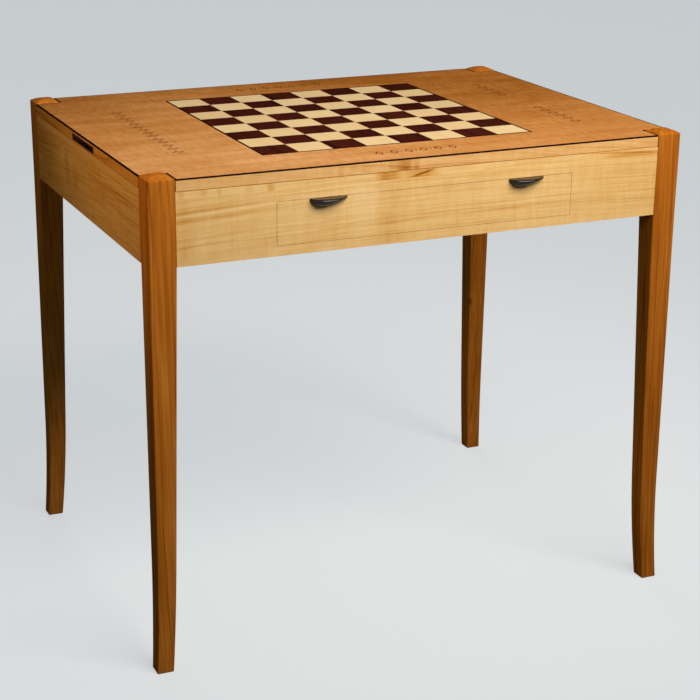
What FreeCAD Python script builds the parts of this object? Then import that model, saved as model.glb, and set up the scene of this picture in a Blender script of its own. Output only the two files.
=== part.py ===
import FreeCAD, Part
import math
import os

# A games table in solid wood. Four sabre legs with pillow tops stand at the corners and are
# joined by four aprons, each with a strip of figured wood glued along its top edge. A loose lid
# with an inlaid chessboard lies on the strips, notched round the leg tops, and lifts straight off
# by two half-moon finger pulls. Under it is a shallow games well lined with baize. A wide drawer,
# cut out of the front apron, slides out under the well.
#
# All sizes are in millimetres. X runs along the table, the front is at -Y, and Z is up. Pieces
# are built about the middle of the table top, and moved by ORIGIN_SHIFT_Y when they are written,
# so that the origin is the middle of the floor area that the table takes up.

# ---- driving dimensions: table ----
TABLE_LENGTH = 860.0
TABLE_DEPTH = 640.0
SURFACE_HEIGHT = 753.0

# ---- legs ----
LEG_SIZE = 40.0
FOOT_SIZE = 26.0
LEG_SPLAY = 2.7          # how far the outer face has moved out where the flare starts
FOOT_FLARE = 9.5         # how far the foot stands outside the apron's face
FLARE_HEIGHT = 181.0
DOME_RISE = 6.0
TOP_ARRIS = 1.5          # rounding of the pillow top's rim and hips

# ---- aprons ----
APRON_HEIGHT = 96.0
APRON_STRIP_HEIGHT = 11.0      # the strip glued along the apron's top edge
APRON_THICKNESS = 20.0
TENON_LENGTH = 22.0
TENON_THICKNESS = 9.0
TENON_SHOULDER = 14.0

# ---- lid ----
LID_THICKNESS = 18.0
LID_CLEARANCE = 1.0      # between a notch and its leg
VENEER_THICKNESS = 1.0
LIPPING_WIDTH = 12.0
STRING_SIZE = 2.2        # the black string let into the lid's top arris

# ---- chessboard ----
SQUARES_PER_SIDE = 8
SQUARE_SIZE = 55.0
BORDER_WIDTH = 4.0

# ---- rows of inlaid ornament: open lozenges with a dot between each two ----
LOZENGE_LENGTH = 14.0          # along the row
LOZENGE_WIDTH = 20.0           # across the row
LOZENGE_LINE = 2.0
LOZENGE_PITCH = 24.0
DOT_RADIUS = 1.5
FRONT_ROW_COUNT = 6
BACK_ROW_COUNT = 7
LEFT_ROW_COUNT = 14
NEAR_RIGHT_ROW_COUNT = 6       # in the right-hand row that is nearer the front
FAR_RIGHT_ROW_COUNT = 5
LONG_SIDE_ROW_INSET = 46.5     # from the lid's front or back edge to the middle of the row
END_ROW_INSET = 100.5          # from the lid's left or right edge to the middle of the row
RIGHT_ROW_SPACING = 231.0      # between the middles of the two right-hand rows

# ---- finger pulls in the lid ----
FINGER_PULL_LENGTH = 117.0
FINGER_PULL_DEPTH = 10.3
FINGER_PULL_HEIGHT = 10.5
FINGER_PULL_DROP = 5.0         # from the top surface to the pull
FINGER_PULL_BACK_WALL = 1.8
FINGER_PULL_RIM = 1.0

# ---- games well ----
WELL_DEPTH = 18.0
LINING_THICKNESS = 1.0
WELL_FLOOR_THICKNESS = 5.0
WELL_GROOVE = 5.0

# ---- drawer and its opening ----
OPENING_WIDTH = 480.0
OPENING_HEIGHT = 65.5
TOP_RAIL_HEIGHT = 16.0         # what is left of the front apron above the opening
DRAWER_GAP = 0.6
DRAWER_LENGTH = 400.0
DRAWER_SIDE_THICKNESS = 12.0
DRAWER_SIDE_HEIGHT = 62.0
DRAWER_BACK_DROP = 4.0         # from the sides' top edges to the back's
LAP_DEPTH = 12.0               # how far the sides go into the drawer front
BOTTOM_THICKNESS = 5.0
BOTTOM_RISE = 8.0
BOTTOM_GROOVE = 4.0

# ---- drawer supports ----
RUNNER_WIDTH = 34.0
RUNNER_HEIGHT = 12.0
RUNNER_HOUSING = 5.0
GUIDE_WIDTH = 12.0
GUIDE_HEIGHT = 10.0
KICKER_WIDTH = 14.0
KICKER_GAP = 1.0
KICKER_SETBACK = 1.0
STOP_LENGTH = 10.0
STOP_HEIGHT = 14.0

# ---- drawer pulls and screws ----
PULL_LENGTH = 57.6
PULL_PROJECTION = 17.0
PULL_HEIGHT = 12.0
PULL_SPACING = 321.2           # between the middles of the two pulls
PULL_SCREW_SPACING = 28.0
PULL_SCREW_DROP = 4.2
PULL_SCREW_BITE = 9.0
BOTTOM_SCREW_SPACING = 150.0
BOTTOM_SCREW_LENGTH = 25.0
SCREW_RADIUS = 1.75
SCREW_HEAD_RADIUS = 3.5
SCREW_HEAD_HEIGHT = 2.4

# ---- places worked out from the sizes above ----
HALF_LENGTH = TABLE_LENGTH / 2
HALF_DEPTH = TABLE_DEPTH / 2
LID_BOTTOM = SURFACE_HEIGHT - LID_THICKNESS
APRON_TOP = LID_BOTTOM - APRON_STRIP_HEIGHT
APRON_BOTTOM = APRON_TOP - APRON_HEIGHT
HALF_LENGTH_IN_LEGS = HALF_LENGTH - LEG_SIZE
HALF_DEPTH_IN_LEGS = HALF_DEPTH - LEG_SIZE
HALF_LENGTH_INSIDE = HALF_LENGTH - APRON_THICKNESS
HALF_DEPTH_INSIDE = HALF_DEPTH - APRON_THICKNESS
NOTCH_X = HALF_LENGTH_IN_LEGS - LID_CLEARANCE
NOTCH_Y = HALF_DEPTH_IN_LEGS - LID_CLEARANCE
CORE_BOTTOM = LID_BOTTOM + VENEER_THICKNESS
CORE_TOP = SURFACE_HEIGHT - VENEER_THICKNESS
HALF_BOARD = SQUARES_PER_SIDE * SQUARE_SIZE / 2
HALF_BORDER = HALF_BOARD + BORDER_WIDTH
LINING_TOP = LID_BOTTOM - WELL_DEPTH
WELL_FLOOR_TOP = LINING_TOP - LINING_THICKNESS
WELL_FLOOR_BOTTOM = WELL_FLOOR_TOP - WELL_FLOOR_THICKNESS
OPENING_TOP = APRON_TOP - TOP_RAIL_HEIGHT
OPENING_BOTTOM = OPENING_TOP - OPENING_HEIGHT
HALF_OPENING = OPENING_WIDTH / 2
HALF_DRAWER = HALF_OPENING - DRAWER_GAP
HALF_DRAWER_INSIDE = HALF_DRAWER - DRAWER_SIDE_THICKNESS
DRAWER_FACE_TOP = OPENING_TOP - DRAWER_GAP
DRAWER_SIDE_TOP = OPENING_BOTTOM + DRAWER_SIDE_HEIGHT
DRAWER_END_Y = DRAWER_LENGTH - HALF_DEPTH
LAP_Y = -HALF_DEPTH_INSIDE - LAP_DEPTH
BOTTOM_PANEL_Z = OPENING_BOTTOM + BOTTOM_RISE
BOTTOM_PANEL_TOP = BOTTOM_PANEL_Z + BOTTOM_THICKNESS
KICKER_BOTTOM = DRAWER_SIDE_TOP + KICKER_GAP
ORIGIN_SHIFT_Y = (PULL_PROJECTION - FOOT_FLARE) / 2

CORNERS = {
    "front_left": (-1, -1),
    "front_right": (1, -1),
    "back_left": (-1, 1),
    "back_right": (1, 1),
}
SIDES = {"left": -1, "right": 1}

X_AXIS = FreeCAD.Vector(1, 0, 0)
Y_AXIS = FreeCAD.Vector(0, 1, 0)
Z_AXIS = FreeCAD.Vector(0, 0, 1)
CENTRE = FreeCAD.Vector(0, 0, 0)


# ---- small helpers ----
def block(x0, x1, y0, y1, z0, z1):
    """A square-edged solid between two corners; each pair may come in either order."""
    low = FreeCAD.Vector(min(x0, x1), min(y0, y1), min(z0, z1))
    return Part.makeBox(abs(x1 - x0), abs(y1 - y0), abs(z1 - z0), low)


def prism(points, z0, z1):
    """A flat outline of (x, y) points, carried straight up from z0 to z1."""
    corners = [FreeCAD.Vector(x, y, z0) for x, y in points]
    outline = Part.makePolygon(corners + corners[:1])
    return Part.Face(outline).extrude(FreeCAD.Vector(0, 0, z1 - z0))


def upright_cylinder(x, y, z0, z1, radius):
    return Part.makeCylinder(radius, z1 - z0, FreeCAD.Vector(x, y, z0), Z_AXIS)


def mirrored(shape, side_x, side_y):
    """Moves a piece from the right and the back to the given sides of the table."""
    if side_x < 0:
        shape = shape.mirror(CENTRE, X_AXIS)
    if side_y < 0:
        shape = shape.mirror(CENTRE, Y_AXIS)
    return shape


def screw(tip, direction, length):
    """A round-headed wood screw: shank from the tip back to the head, which ends at length."""
    shank = Part.makeCylinder(SCREW_RADIUS, length - SCREW_HEAD_HEIGHT, tip, direction)
    head_foot = tip + direction * (length - SCREW_HEAD_HEIGHT)
    head = Part.makeCylinder(SCREW_HEAD_RADIUS, SCREW_HEAD_HEIGHT, head_foot, direction)
    return shank.fuse(head).removeSplitter()


def write(name, shapes):
    """Moves the solids to the row's origin and writes them as one named sub-part."""
    group = Part.makeCompound([solid for shape in shapes for solid in shape.Solids])
    group.translate(FreeCAD.Vector(0, ORIGIN_SHIFT_Y, 0))
    group.exportStep("parts/" + name + ".step")
    print(name, len(group.Solids), "solid(s)", round(group.Volume / 1000, 2), "cm3", group.isValid())


# ---- legs ----
def arc_between(start, slope, end):
    """The arc that leaves start with the given sideways slope per mm of fall and meets end.

    Its radius is the chord squared over twice the chord's part across the start direction."""
    length = math.hypot(slope, 1.0)
    across = (1.0 / length, slope / length)
    chord = (end[0] - start[0], end[1] - start[1])
    lean = chord[0] * across[0] + chord[1] * across[1]
    radius = (chord[0] ** 2 + chord[1] ** 2) / (2 * lean)
    middle = ((start[0] + end[0]) / 2, (start[1] + end[1]) / 2)
    centre = (start[0] + radius * across[0], start[1] + radius * across[1])
    reach = math.hypot(middle[0] - centre[0], middle[1] - centre[1])
    scale = abs(radius) / reach
    return (centre[0] + (middle[0] - centre[0]) * scale, centre[1] + (middle[1] - centre[1]) * scale)


def leg_profile(half_size, place):
    """The leg's outline seen along one side of the table, as a face.

    half_size is the table's half length or depth; place turns (out, up) into a 3-D point.
    The leg tapers to its knee while it leans out a little, then sweeps out to the foot on
    arcs, and a low arc closes the top."""
    knee_width = FOOT_SIZE + (LEG_SIZE - FOOT_SIZE) * FLARE_HEIGHT / APRON_BOTTOM
    fall = APRON_BOTTOM - FLARE_HEIGHT
    outer_top = (half_size, SURFACE_HEIGHT)
    outer_shoulder = (half_size, APRON_BOTTOM)
    outer_knee = (half_size + LEG_SPLAY, FLARE_HEIGHT)
    outer_foot = (half_size + FOOT_FLARE, 0.0)
    inner_foot = (half_size + FOOT_FLARE - FOOT_SIZE, 0.0)
    inner_knee = (half_size + LEG_SPLAY - knee_width, FLARE_HEIGHT)
    inner_shoulder = (half_size - LEG_SIZE, APRON_BOTTOM)
    inner_top = (half_size - LEG_SIZE, SURFACE_HEIGHT)
    crown = (half_size - LEG_SIZE / 2, SURFACE_HEIGHT + DOME_RISE)
    outer_sweep = arc_between(outer_knee, LEG_SPLAY / fall, outer_foot)
    inner_slope = (inner_knee[0] - inner_shoulder[0]) / fall
    inner_sweep = arc_between(inner_knee, inner_slope, inner_foot)

    def line(first, second):
        return Part.LineSegment(place(*first), place(*second)).toShape()

    def arc(first, middle, last):
        return Part.Arc(place(*first), place(*middle), place(*last)).toShape()

    edges = [
        line(outer_top, outer_shoulder),
        line(outer_shoulder, outer_knee),
        arc(outer_knee, outer_sweep, outer_foot),
        line(outer_foot, inner_foot),
        arc(inner_foot, inner_sweep, inner_knee),
        line(inner_knee, inner_shoulder),
        line(inner_shoulder, inner_top),
        arc(inner_top, crown, outer_top),
    ]
    return Part.Face(Part.Wire(edges))


def plain_leg():
    """The back right leg before its mortises: the two side profiles, crossed.

    Where both top arcs cross they make the pillow top with its four hips."""
    side_on = leg_profile(HALF_LENGTH, lambda out, up: FreeCAD.Vector(out, 0, up))
    end_on = leg_profile(HALF_DEPTH, lambda out, up: FreeCAD.Vector(0, out, up))
    first = side_on.extrude(Y_AXIS * TABLE_DEPTH)
    second = end_on.extrude(X_AXIS * TABLE_LENGTH)
    leg = first.common(second)
    return leg.makeFillet(TOP_ARRIS, [edge for edge in leg.Edges if is_top_edge(edge)])


def is_top_edge(edge):
    """True for the rim under the pillow top and for the four hips that cross it."""
    return edge.BoundBox.ZMin > SURFACE_HEIGHT - 0.01


def leg(side_x, side_y):
    tenons = [apron_tenon_x(), apron_tenon_y()]
    return mirrored(plain_leg().cut(Part.makeCompound(tenons)), side_x, side_y)


# ---- aprons ----
def apron_tenon_x():
    """Tenon on the right end of the back apron."""
    middle = HALF_DEPTH - APRON_THICKNESS / 2
    return block(HALF_LENGTH_IN_LEGS, HALF_LENGTH_IN_LEGS + TENON_LENGTH,
                 middle - TENON_THICKNESS / 2, middle + TENON_THICKNESS / 2,
                 APRON_BOTTOM + TENON_SHOULDER, APRON_TOP - TENON_SHOULDER)


def apron_tenon_y():
    """Tenon on the back end of the right apron."""
    middle = HALF_LENGTH - APRON_THICKNESS / 2
    return block(middle - TENON_THICKNESS / 2, middle + TENON_THICKNESS / 2,
                 HALF_DEPTH_IN_LEGS, HALF_DEPTH_IN_LEGS + TENON_LENGTH,
                 APRON_BOTTOM + TENON_SHOULDER, APRON_TOP - TENON_SHOULDER)


def long_apron(side_y):
    """An apron along the table, with its groove for the well floor and runner housings."""
    board = block(-HALF_LENGTH_IN_LEGS, HALF_LENGTH_IN_LEGS,
                  HALF_DEPTH_INSIDE, HALF_DEPTH, APRON_BOTTOM, APRON_TOP)
    tenon = apron_tenon_x()
    board = board.fuse([tenon, mirrored(tenon, -1, 1)]).removeSplitter()
    board = mirrored(board, 1, side_y)
    for side in SIDES.values():
        board = board.cut(drawer_runner(side))
    return board.cut(well_floor())


def apron_front():
    opening = block(-HALF_OPENING, HALF_OPENING, -HALF_DEPTH, -HALF_DEPTH_INSIDE,
                    OPENING_BOTTOM, OPENING_TOP)
    return long_apron(-1).cut(opening)


def short_apron(side_x):
    board = block(HALF_LENGTH_INSIDE, HALF_LENGTH, -HALF_DEPTH_IN_LEGS, HALF_DEPTH_IN_LEGS,
                  APRON_BOTTOM, APRON_TOP)
    tenon = apron_tenon_y()
    board = board.fuse([tenon, mirrored(tenon, 1, -1)]).removeSplitter()
    return mirrored(board, side_x, 1).cut(well_floor())


def long_strip(side_y):
    """The strip on the front or back apron, between the legs."""
    return block(-HALF_LENGTH_IN_LEGS, HALF_LENGTH_IN_LEGS,
                 side_y * HALF_DEPTH_INSIDE, side_y * HALF_DEPTH, APRON_TOP, LID_BOTTOM)


def short_strip(side_x):
    return block(side_x * HALF_LENGTH_INSIDE, side_x * HALF_LENGTH,
                 -HALF_DEPTH_IN_LEGS, HALF_DEPTH_IN_LEGS, APRON_TOP, LID_BOTTOM)


# ---- games well ----
def stepped_outline(half_x, half_y, step_x, step_y):
    """A rectangle with its four corners cut out: steps at (step_x, step_y)."""
    quarter = [(half_x, step_y), (step_x, step_y), (step_x, half_y)]
    return (
        quarter
        + [(-x, y) for x, y in reversed(quarter)]
        + [(-x, -y) for x, y in quarter]
        + [(x, -y) for x, y in reversed(quarter)]
    )


def well_floor():
    outline = stepped_outline(HALF_LENGTH_INSIDE + WELL_GROOVE, HALF_DEPTH_INSIDE + WELL_GROOVE,
                              HALF_LENGTH_IN_LEGS, HALF_DEPTH_IN_LEGS)
    return prism(outline, WELL_FLOOR_BOTTOM, WELL_FLOOR_TOP)


def well_lining():
    outline = stepped_outline(HALF_LENGTH_INSIDE, HALF_DEPTH_INSIDE,
                              HALF_LENGTH_IN_LEGS, HALF_DEPTH_IN_LEGS)
    return prism(outline, WELL_FLOOR_TOP, LINING_TOP)


# ---- drawer supports ----
def drawer_runner(side):
    """A bearer under one drawer side, housed in the front and back aprons."""
    outer = HALF_OPENING + GUIDE_WIDTH
    reach = HALF_DEPTH_INSIDE + RUNNER_HOUSING
    return block(side * (outer - RUNNER_WIDTH), side * outer, -reach, reach,
                 OPENING_BOTTOM - RUNNER_HEIGHT, OPENING_BOTTOM)


def drawer_guide(side):
    """A strip on the runner that keeps the drawer from wandering sideways."""
    return block(side * HALF_OPENING, side * (HALF_OPENING + GUIDE_WIDTH),
                 -HALF_DEPTH_INSIDE, HALF_DEPTH_INSIDE,
                 OPENING_BOTTOM, OPENING_BOTTOM + GUIDE_HEIGHT)


def drawer_kicker(side):
    """A strip under the well floor that keeps the open drawer from tipping down."""
    return block(side * (HALF_OPENING - KICKER_WIDTH), side * HALF_OPENING,
                 KICKER_SETBACK - HALF_DEPTH_INSIDE, HALF_DEPTH_INSIDE,
                 KICKER_BOTTOM, WELL_FLOOR_BOTTOM)


def drawer_stop(side):
    """A block on the runner that the shut drawer's side meets."""
    return block(side * HALF_DRAWER_INSIDE, side * HALF_DRAWER,
                 DRAWER_END_Y, DRAWER_END_Y + STOP_LENGTH,
                 OPENING_BOTTOM, OPENING_BOTTOM + STOP_HEIGHT)


# ---- drawer ----
def drawer_side(side):
    board = block(side * HALF_DRAWER_INSIDE, side * HALF_DRAWER,
                  LAP_Y, DRAWER_END_Y, OPENING_BOTTOM, DRAWER_SIDE_TOP)
    return board.cut(drawer_bottom())


def drawer_bottom():
    half = HALF_DRAWER_INSIDE + BOTTOM_GROOVE
    return block(-half, half, -HALF_DEPTH_INSIDE - BOTTOM_GROOVE, DRAWER_END_Y,
                 BOTTOM_PANEL_Z, BOTTOM_PANEL_TOP)


def drawer_back():
    return block(-HALF_DRAWER_INSIDE, HALF_DRAWER_INSIDE,
                 DRAWER_END_Y - DRAWER_SIDE_THICKNESS, DRAWER_END_Y,
                 BOTTOM_PANEL_TOP, DRAWER_SIDE_TOP - DRAWER_BACK_DROP)


def drawer_front():
    """The face, lapped over the ends of the sides and grooved for the bottom."""
    board = block(-HALF_DRAWER, HALF_DRAWER, -HALF_DEPTH, -HALF_DEPTH_INSIDE,
                  OPENING_BOTTOM + DRAWER_GAP, DRAWER_FACE_TOP)
    laps = [block(side * HALF_DRAWER_INSIDE, side * HALF_DRAWER,
                  LAP_Y, -HALF_DEPTH_INSIDE, OPENING_BOTTOM, DRAWER_SIDE_TOP)
            for side in SIDES.values()]
    return board.cut(Part.makeCompound(laps)).cut(drawer_bottom()).cut(pull_screws())


def bottom_screws():
    """Three screws, up through the bottom into the back."""
    y = DRAWER_END_Y - DRAWER_SIDE_THICKNESS / 2
    tips = [FreeCAD.Vector(place * BOTTOM_SCREW_SPACING, y, BOTTOM_PANEL_Z + BOTTOM_SCREW_LENGTH)
            for place in (-1, 0, 1)]
    return Part.makeCompound([screw(tip, -Z_AXIS, BOTTOM_SCREW_LENGTH) for tip in tips])


# ---- pulls ----
def pull_body(side):
    """A quarter of an ellipsoid with a level top and a flat back against the drawer front."""
    scale = FreeCAD.Matrix()
    scale.scale(PULL_LENGTH / 2, PULL_PROJECTION, PULL_HEIGHT)
    whole = Part.makeSphere(1.0).transformGeometry(scale)
    quarter = whole.common(block(-PULL_LENGTH, PULL_LENGTH, -PULL_PROJECTION, 0, -PULL_HEIGHT, 0))
    quarter.translate(FreeCAD.Vector(side * PULL_SPACING / 2, -HALF_DEPTH, DRAWER_FACE_TOP))
    return quarter


def pull_screws():
    """Two screws for each pull, driven from inside the drawer, heads flush with the face."""
    length = APRON_THICKNESS + PULL_SCREW_BITE
    z = DRAWER_FACE_TOP - PULL_SCREW_DROP
    y = -HALF_DEPTH - PULL_SCREW_BITE
    tips = [FreeCAD.Vector(side * PULL_SPACING / 2 + end * PULL_SCREW_SPACING / 2, y, z)
            for side in (-1, 1) for end in (-1, 1)]
    return Part.makeCompound([screw(tip, Y_AXIS, length) for tip in tips])


def pull(side):
    return pull_body(side).cut(pull_screws())


# ---- lid ----
def lid_slab(outer_inset, notch_inset, z0, z1):
    outline = stepped_outline(HALF_LENGTH - outer_inset, HALF_DEPTH - outer_inset,
                              NOTCH_X - notch_inset, NOTCH_Y - notch_inset)
    return prism(outline, z0, z1)


def edge_string_strips():
    """The black string in twelve straight strips, round the lid and its notches."""
    z0 = SURFACE_HEIGHT - STRING_SIZE
    z1 = SURFACE_HEIGHT
    strips = []
    inner_x = HALF_LENGTH - STRING_SIZE
    inner_y = HALF_DEPTH - STRING_SIZE
    for side in (-1, 1):
        strips.append(block(-NOTCH_X, NOTCH_X, side * inner_y, side * HALF_DEPTH, z0, z1))
        strips.append(block(side * inner_x, side * HALF_LENGTH, -NOTCH_Y, NOTCH_Y, z0, z1))
    across = block(NOTCH_X - STRING_SIZE, NOTCH_X, NOTCH_Y - STRING_SIZE, inner_y, z0, z1)
    along = block(NOTCH_X, inner_x, NOTCH_Y - STRING_SIZE, NOTCH_Y, z0, z1)
    for side_x, side_y in CORNERS.values():
        strips.append(mirrored(across, side_x, side_y))
        strips.append(mirrored(along, side_x, side_y))
    return strips


def lid_core():
    core = lid_slab(LIPPING_WIDTH, 0, CORE_BOTTOM, CORE_TOP)
    return core.cut(Part.makeCompound(edge_string_strips()))


def long_lipping(side_y):
    strip = block(-NOTCH_X, NOTCH_X, side_y * (HALF_DEPTH - LIPPING_WIDTH), side_y * HALF_DEPTH,
                  CORE_BOTTOM, CORE_TOP)
    return strip.cut(Part.makeCompound(edge_string_strips()))


def end_lipping(side_x):
    strip = block(side_x * (HALF_LENGTH - LIPPING_WIDTH), side_x * HALF_LENGTH, -NOTCH_Y, NOTCH_Y,
                  CORE_BOTTOM, CORE_TOP)
    return strip.cut(Part.makeCompound(edge_string_strips())).cut(half_moon(side_x, 0.0, 0.0))


def half_moon(side_x, back_wall, rim):
    """The half-moon slot that a round cutter leaves in the lid's end.

    back_wall and rim shrink it evenly, for the hollow inside its dark liner."""
    half_chord = FINGER_PULL_LENGTH / 2
    radius = (half_chord ** 2 + FINGER_PULL_DEPTH ** 2) / (2 * FINGER_PULL_DEPTH)
    centre_x = HALF_LENGTH + radius - FINGER_PULL_DEPTH
    top = SURFACE_HEIGHT - FINGER_PULL_DROP - rim
    bottom = SURFACE_HEIGHT - FINGER_PULL_DROP - FINGER_PULL_HEIGHT + rim
    cutter = upright_cylinder(centre_x, 0, bottom, top, radius - back_wall)
    inside = block(HALF_LENGTH - LIPPING_WIDTH, HALF_LENGTH, -half_chord, half_chord, bottom, top)
    return mirrored(cutter.common(inside), side_x, 1)


def finger_pull(side_x):
    liner = half_moon(side_x, 0.0, 0.0)
    return liner.cut(half_moon(side_x, FINGER_PULL_BACK_WALL, FINGER_PULL_RIM))


def lozenge_outline(x, y, half_x, half_y):
    return [(x + half_x, y), (x, y + half_y), (x - half_x, y), (x, y - half_y)]


def open_lozenge(x, y, half_x, half_y):
    """A four-pointed inlaid line, LOZENGE_LINE wide, that runs round an island of veneer."""
    side = math.hypot(half_x, half_y)
    shrink = 1 - LOZENGE_LINE * side / (half_x * half_y)
    outer = prism(lozenge_outline(x, y, half_x, half_y), CORE_TOP, SURFACE_HEIGHT)
    inner = prism(lozenge_outline(x, y, half_x * shrink, half_y * shrink), CORE_TOP, SURFACE_HEIGHT)
    return outer.cut(inner)


def ornament_row(x, y, along_x, count):
    """A row of open lozenges about (x, y), with a dot between each two."""
    pieces = []
    half_along = LOZENGE_LENGTH / 2
    half_across = LOZENGE_WIDTH / 2
    for number in range(count):
        offset = (number - (count - 1) / 2) * LOZENGE_PITCH
        if along_x:
            pieces.append(open_lozenge(x + offset, y, half_along, half_across))
        else:
            pieces.append(open_lozenge(x, y + offset, half_across, half_along))
    for number in range(count - 1):
        offset = (number - (count - 2) / 2) * LOZENGE_PITCH
        place = (x + offset, y) if along_x else (x, y + offset)
        pieces.append(upright_cylinder(place[0], place[1], CORE_TOP, SURFACE_HEIGHT, DOT_RADIUS))
    return pieces


def ornament_inlay():
    """One row in the middle of each margin, but two in the right-hand one."""
    long_side_y = HALF_DEPTH - LONG_SIDE_ROW_INSET
    end_x = HALF_LENGTH - END_ROW_INSET
    right_y = RIGHT_ROW_SPACING / 2
    rows = ornament_row(0, -long_side_y, True, FRONT_ROW_COUNT)
    rows += ornament_row(0, long_side_y, True, BACK_ROW_COUNT)
    rows += ornament_row(-end_x, 0, False, LEFT_ROW_COUNT)
    rows += ornament_row(end_x, -right_y, False, NEAR_RIGHT_ROW_COUNT)
    rows += ornament_row(end_x, right_y, False, FAR_RIGHT_ROW_COUNT)
    return rows


def field_veneer():
    sheet = lid_slab(STRING_SIZE, STRING_SIZE, CORE_TOP, SURFACE_HEIGHT)
    board = block(-HALF_BORDER, HALF_BORDER, -HALF_BORDER, HALF_BORDER, CORE_TOP, SURFACE_HEIGHT)
    return sheet.cut(Part.makeCompound([board] + ornament_inlay()))


def underside_veneer():
    return lid_slab(0, 0, LID_BOTTOM, CORE_BOTTOM)


def board_border():
    """Four black strips round the chessboard."""
    strips = []
    for side in (-1, 1):
        strips.append(block(-HALF_BORDER, HALF_BORDER, side * HALF_BOARD, side * HALF_BORDER,
                            CORE_TOP, SURFACE_HEIGHT))
        strips.append(block(side * HALF_BOARD, side * HALF_BORDER, -HALF_BOARD, HALF_BOARD,
                            CORE_TOP, SURFACE_HEIGHT))
    return strips


def board_squares(dark):
    """The dark or the light squares; the near left corner square is dark."""
    squares = []
    for column in range(SQUARES_PER_SIDE):
        for row in range(SQUARES_PER_SIDE):
            if ((column + row) % 2 == 0) == dark:
                x = column * SQUARE_SIZE - HALF_BOARD
                y = row * SQUARE_SIZE - HALF_BOARD
                squares.append(block(x, x + SQUARE_SIZE, y, y + SQUARE_SIZE, CORE_TOP, SURFACE_HEIGHT))
    return squares


os.makedirs("parts", exist_ok=True)

for corner, (corner_x, corner_y) in CORNERS.items():
    write("leg_" + corner, [leg(corner_x, corner_y)])
write("apron_front", [apron_front()])
write("apron_back", [long_apron(1)])
write("apron_strip_front", [long_strip(-1)])
write("apron_strip_back", [long_strip(1)])
write("well_floor", [well_floor()])
write("well_lining", [well_lining()])
write("drawer_stops", [drawer_stop(-1), drawer_stop(1)])
write("drawer_front", [drawer_front()])
write("drawer_back", [drawer_back().cut(bottom_screws())])
write("drawer_bottom", [drawer_bottom().cut(bottom_screws())])
write("drawer_bottom_screws", [bottom_screws()])
write("pull_screws", [pull_screws()])
write("lid_core", [lid_core()])
write("lid_lipping_front", [long_lipping(-1)])
write("lid_lipping_back", [long_lipping(1)])
for name, hand in SIDES.items():
    write("apron_" + name, [short_apron(hand)])
    write("apron_strip_" + name, [short_strip(hand)])
    write("drawer_runner_" + name, [drawer_runner(hand)])
    write("drawer_guide_" + name, [drawer_guide(hand)])
    write("drawer_kicker_" + name, [drawer_kicker(hand)])
    write("drawer_side_" + name, [drawer_side(hand)])
    write("pull_" + name, [pull(hand)])
    write("lid_lipping_" + name, [end_lipping(hand)])
    write("finger_pull_" + name, [finger_pull(hand)])
write("underside_veneer", [underside_veneer()])
write("field_veneer", [field_veneer()])
write("edge_string", edge_string_strips())
write("board_border", board_border())
write("dark_squares", board_squares(True))
write("light_squares", board_squares(False))
write("ornament_inlay", ornament_inlay())
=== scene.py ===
# %% [markdown]
# # A games table in solid wood and veneer
#
# The table has four orange-brown legs with pillow tops, pale yellow-brown aprons, a wide drawer
# with two black pulls, and a loose lid veneered in tan wood round an inlaid chessboard.
# The solid model comes in as a fixed frame. This lesson gives every piece its finish, makes the
# legs and pulls again with soft edges, and sets up floor, light and camera.

# %% Load the frame
import bpy
import bmesh
import math
import numpy as np
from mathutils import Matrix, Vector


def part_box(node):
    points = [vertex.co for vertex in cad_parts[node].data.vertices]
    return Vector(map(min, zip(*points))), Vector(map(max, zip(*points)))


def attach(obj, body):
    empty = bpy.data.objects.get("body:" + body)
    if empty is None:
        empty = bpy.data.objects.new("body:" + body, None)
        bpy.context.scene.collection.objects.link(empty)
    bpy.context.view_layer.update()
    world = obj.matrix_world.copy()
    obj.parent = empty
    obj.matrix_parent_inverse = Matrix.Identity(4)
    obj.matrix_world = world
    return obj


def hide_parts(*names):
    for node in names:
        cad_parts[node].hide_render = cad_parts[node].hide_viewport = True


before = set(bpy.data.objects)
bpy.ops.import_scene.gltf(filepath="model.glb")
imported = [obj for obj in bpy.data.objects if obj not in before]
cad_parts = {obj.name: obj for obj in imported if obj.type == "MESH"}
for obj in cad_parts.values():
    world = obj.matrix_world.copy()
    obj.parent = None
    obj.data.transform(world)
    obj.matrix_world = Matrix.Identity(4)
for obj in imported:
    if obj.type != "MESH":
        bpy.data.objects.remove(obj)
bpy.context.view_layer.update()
MM = 0.001

# %% [markdown]
# ## Colours
#
# Colours are written as the sRGB hex values that a paint chart or a colour picker would give.
# Blender's shaders work in linear light, so one function does the change for every colour.


# %% Hex to linear
def colour(code):
    """sRGB hex to linear: c/12.92 below 0.04045, else ((c + 0.055)/1.055) to the power 2.4."""
    channels = [int(code[i:i + 2], 16) / 255 for i in (0, 2, 4)]
    linear = [c / 12.92 if c <= 0.04045 else ((c + 0.055) / 1.055) ** 2.4 for c in channels]
    return (*linear, 1.0)


print("mid grey is", round(colour("808080")[0], 3), "in linear light")

# %% [markdown]
# ## Building a material from nodes
#
# A material is a small network: coordinates go in, patterns are made from them, and a shader
# takes the result. One helper adds a node, sets its options and plugs in its inputs, so that
# each material below reads like a recipe.


# %% One helper for every node
def add(tree, kind, inputs=(), **options):
    """Adds a node. inputs pairs an input's name or number with a value or another node's output."""
    made = tree.nodes.new(kind)
    for option, value in options.items():
        setattr(made, option, value)
    for place, value in dict(inputs).items():
        if isinstance(value, bpy.types.NodeSocket):
            tree.links.new(value, made.inputs[place])
        else:
            made.inputs[place].default_value = value
    return made


def blank_material(name):
    """A new material with an empty network that ends in a Principled shader."""
    material = bpy.data.materials.new(name)
    material.use_nodes = True
    tree = material.node_tree
    tree.nodes.clear()
    shader = add(tree, "ShaderNodeBsdfPrincipled")
    add(tree, "ShaderNodeOutputMaterial", {"Surface": shader.outputs[0]})
    return material, tree, shader


print("helpers ready: add and blank_material")

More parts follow.
